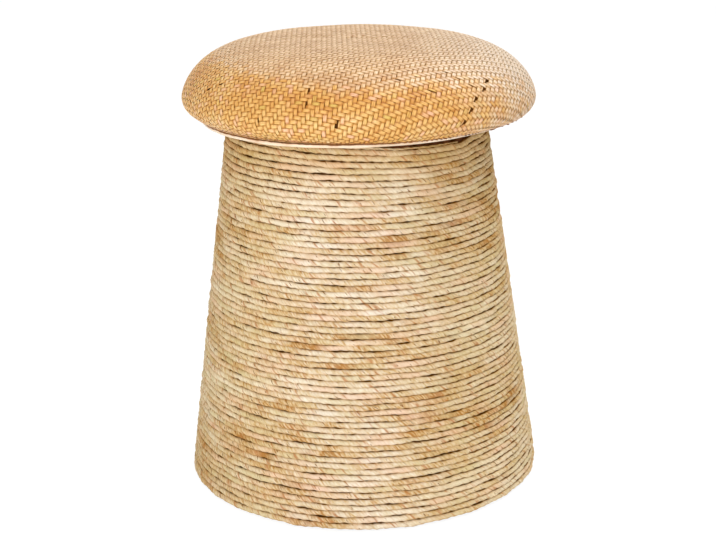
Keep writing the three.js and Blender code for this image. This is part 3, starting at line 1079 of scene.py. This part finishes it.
def cane_strip_finish():
    material, tree, shader = new_finish("split cane", roughness=0.42, shine=0.5)
    tone, blush, sheen_and_wear = (
        add_node(tree, "ShaderNodeAttribute", attribute_name=label).outputs["Fac"]
        for label in ("tone", "blush", "sheen_and_wear")
    )
    grain_place = add_node(tree, "ShaderNodeAttribute", attribute_name="grain").outputs["Vector"]
    run, beside, _ = parts_of(tree, grain_place)
    place = object_place(tree)
    right, _, height = parts_of(tree, place)

    blotches = spread(tree, noise(tree, place, scale=34.0, detail=3.0), gain=2.2)
    shade = calc(tree, "MULTIPLY_ADD", tone, 0.54, calc(tree, "MULTIPLY", blotches, 0.46))
    cane = colour_ramp(
        tree,
        spread(tree, shade, gain=0.76),
        (
            (0.06, (0.56, 0.24, 0.040)),
            (0.26, (0.72, 0.36, 0.080)),
            (0.46, (0.83, 0.48, 0.142)),
            (0.66, (0.88, 0.57, 0.215)),
            (0.90, (0.92, 0.67, 0.350)),
        ),
    )
    cane = blend_colours(tree, short_of(tree, blush, 0.26, gain=4.0), cane, (0.72, 0.50, 0.12))
    cane = blend_colours(tree, past(tree, blush, 0.72, gain=3.5), cane, (0.94, 0.58, 0.40))

    pale = colour_ramp(tree, shade, ((0.1, (0.75, 0.50, 0.29)), (0.85, (1.0, 0.78, 0.55))))
    # Painted sheen: the pale colour whitens towards the right.
    bleach_and_sheen = calc(tree, "MULTIPLY_ADD", right, 7.5, -0.30, clamp=True)
    pale = blend_colours(tree, bleach_and_sheen, pale, (0.94, 0.89, 0.84), share=0.8)
    # Painted sheen and wear: the pale colour over the top and the right shoulder.
    cane = blend_colours(tree, sheen_and_wear, cane, pale, share=0.90)

    jitter = joined(tree, tone, calc(tree, "MULTIPLY", tone, 7.0))
    strand = vector_calc(tree, "ADD", grain_place, jitter)
    lines = noise(tree, stretched(tree, strand, (110.0, 1150.0, 0.0)), detail=3.0)
    streak = colour_ramp(tree, lines, ((0.31, (0.77, 0.62, 0.44)), (0.60, (1.0, 1.0, 1.0))))
    cane = blend_colours(tree, 1.0, cane, streak, "MULTIPLY")

    # Painted shade: each strip darkens towards its edges and into the gaps beside it.
    edge = calc(tree, "DIVIDE", calc(tree, "ABSOLUTE", beside), strip_width / 2.0)
    strip_edge_shade = past(tree, edge, 0.55, gain=2.1)
    cane = blend_colours(tree, strip_edge_shade, cane, (0.90, 0.78, 0.50), "MULTIPLY")
    # Painted shade: each float darkens towards its ends, where it dips under the crossing strips.
    float_end_shade = past(tree, calc(tree, "ABSOLUTE", run), 0.0017, gain=560.0)
    cane = blend_colours(tree, float_end_shade, cane, (0.70, 0.53, 0.29), "MULTIPLY")
    # Painted shade: a dark line just above the tuck, where the mat turns in over the reed.
    level = calc(tree, "MULTIPLY_ADD", right, seat_slope, height)
    off_crease = calc(tree, "ABSOLUTE", calc(tree, "SUBTRACT", level, tuck_height + 0.0022))
    tuck_shade = short_of(tree, off_crease, 0.0014, gain=1200.0)
    cane = blend_colours(tree, tuck_shade, cane, (0.50, 0.30, 0.15), "MULTIPLY")
    dress(tree, shader, cane, lines, depth=0.00012)
    return material


strips = mat_points()
template = strip_float()
split_cane = cane_strip_finish()
mat_growth = mat_tree()
turn_order = np.argsort(np.arctan2(strips["place"][:, 1], strips["place"][:, 0]), kind="stable")
for i, chosen in enumerate(np.array_split(turn_order, mat_pieces)):
    spots = bpy.data.meshes.new("strip spots")
    spots.from_pydata(strips["place"][chosen].tolist(), [], [])
    for label in ("along_axis", "normal_axis", "stretch", "bend"):
        field = spots.attributes.new(label, "FLOAT_VECTOR", "POINT")
        field.data.foreach_set("vector", strips[label][chosen].ravel())
    for label in ("tone", "blush", "sheen_and_wear"):
        field = spots.attributes.new(label, "FLOAT", "POINT")
        field.data.foreach_set("value", strips[label][chosen])
    mat = grow(f"woven_mat_{i + 1}", spots, mat_growth, Strip=template, Finish=split_cane)
    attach(mat, "root")
    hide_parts("woven_cover")
bpy.data.objects.remove(template)

# Edge reed
# A peeled reed, pinned round the edge of the board where the mat is turned in. It was bent
# green, so it waves a little.

reed_low, reed_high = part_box("edge_reed")
reed_half = 0.0019
reed_ring = reed_high[0] - reed_half
reed_level = (reed_low[2] + reed_high[2]) / 2.0
reed_wave = 0.00022
reed_seed = 5
reed_steps = 480
reed_sides = 10


def reed_finish():
    material, tree, shader = new_finish("peeled reed", roughness=0.5)
    place = object_place(tree)
    streaks = noise(tree, stretched(tree, place, (40.0, 40.0, 1600.0)), detail=4.0)
    blotches = noise(tree, place, scale=45.0)
    mottled = calc(tree, "MULTIPLY", calc(tree, "ADD", streaks, blotches), 0.5)
    colour = colour_ramp(
        tree, mottled, ((0.33, (0.70, 0.47, 0.29)), (0.5, (0.92, 0.74, 0.54)), (0.66, (0.98, 0.87, 0.71)))
    )
    _, _, height = parts_of(tree, place)
    # Painted shade: the reed is dark above a wavering line, under the mat's turned-in edge.
    waver = noise(tree, place, scale=90.0)
    seam_level = calc(tree, "MULTIPLY_ADD", waver, 0.0022, reed_level - 0.0004)
    reed_top_shade = past(tree, height, seam_level, gain=2500.0)
    colour = blend_colours(tree, reed_top_shade, colour, (0.30, 0.13, 0.045))
    dress(tree, shader, colour, streaks, depth=0.0002)
    return material


def reed_mesh():
    rng = np.random.default_rng(reed_seed)
    turn = np.linspace(0.0, 2.0 * np.pi, reed_steps, endpoint=False)
    wave = sum(
        rng.uniform(0.3, 1.0) * np.sin(k * turn + rng.uniform(0.0, 2.0 * np.pi))
        for k in (3, 5, 8, 13, 21)
    )
    shape = bmesh.new()
    rings = []
    for angle, lift in zip(turn, wave * reed_wave):
        ring = []
        for j in range(reed_sides):
            around = 2.0 * np.pi * j / reed_sides
            radius = reed_ring + reed_half * math.cos(around)
            height = reed_level + lift + reed_half * math.sin(around)
            ring.append((radius * math.cos(angle), radius * math.sin(angle), height))
        rings.append([shape.verts.new(corner) for corner in ring])
    for i in range(reed_steps):
        a, b = rings[i], rings[(i + 1) % reed_steps]
        for j in range(reed_sides):
            k = (j + 1) % reed_sides
            shape.faces.new((a[j], b[j], b[k], a[k]))
    return finished_mesh("edge reed", shape)


reed = show("edge_reed_bent", reed_mesh(), reed_finish())
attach(reed, "root")
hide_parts("edge_reed")

# Floor
# A plain white floor without edges. The camera sees it as white, and it keeps the shadow.

floor_radius = 9.0
floor_white = 0.94
floor_shade = 0.22
floor_glow = 0.90


def seen_rays(tree):
    """1 for what the camera sees, mirrored or through glass too, and 0 for other light."""
    rays = add_node(tree, "ShaderNodeLightPath").outputs
    mirrored = calc(tree, "MAXIMUM", rays["Is Glossy Ray"], rays["Is Transmission Ray"])
    return calc(tree, "MAXIMUM", rays["Is Camera Ray"], mirrored)


def floor_finish():
    material, tree, shader = new_finish("studio floor", roughness=0.9, shine=0.0)
    seen = seen_rays(tree)
    colour = blend_colours(tree, seen, (floor_white,) * 3, (floor_shade,) * 3)
    tree.links.new(colour, shader.inputs["Base Color"])
    shader.inputs["Emission Color"].default_value = (1.0, 1.0, 1.0, 1.0)
    glow = calc(tree, "MULTIPLY", seen, floor_glow)
    tree.links.new(glow, shader.inputs["Emission Strength"])
    return material


bpy.ops.mesh.primitive_circle_add(vertices=96, radius=floor_radius, fill_type="NGON")
floor = bpy.context.object
floor.name = "floor"
floor.data.materials.append(floor_finish())

# Light
# An even white surround, a soft lamp above and behind on the right, and a stronger one in
# front on the left.

surround_strength = 0.50


def surround():
    world = bpy.data.worlds.new("surround")
    bpy.context.scene.world = world
    world.use_nodes = True
    tree = world.node_tree
    background = tree.nodes["Background"]
    background.inputs["Color"].default_value = (1.0, 1.0, 1.0, 1.0)
    limits = {0: seen_rays(tree), 3: surround_strength, 4: 1.0}
    strength = add_node(tree, "ShaderNodeMapRange", limits)
    tree.links.new(strength.outputs[0], background.inputs["Strength"])


def softbox(name, power, size, place, aim):
    lamp = bpy.data.lights.new(name, "AREA")
    lamp.energy = power
    lamp.shape = "DISK"
    lamp.size = size
    holder = new_object(name, lamp)
    holder.location = place
    holder.rotation_euler = (Vector(aim) - Vector(place)).to_track_quat("-Z", "Y").to_euler()


surround()
softbox("overhead", power=20.5, size=1.6, place=(0.80, 0.32, 2.0), aim=(0.0, 0.0, 0.4))
softbox("front", power=32.5, size=1.6, place=(-0.60, -2.25, 0.78), aim=(0.0, 0.0, 0.22))

# Camera
# It looks down on the stool from the front and leans a little, as in the photograph.

camera_distance = 1.4906
camera_height = 0.6726
camera_pitch = 0.3025
camera_yaw = 0.00147
camera_roll = 0.0230
camera_lens = 76.07

camera = bpy.data.cameras.new("camera")
camera.lens = camera_lens
camera.sensor_width = 36.0
camera.clip_end = 100.0
viewer = new_object("camera", camera)
viewer.matrix_world = (
    Matrix.Translation((0.0, -camera_distance, camera_height))
    @ Matrix.Rotation(camera_yaw, 4, "Z")
    @ Matrix.Rotation(math.pi / 2.0 - camera_pitch, 4, "X")
    @ Matrix.Rotation(-camera_roll, 4, "Z")
)
bpy.context.scene.camera = viewer
bpy.context.scene.view_settings.view_transform = "Standard"
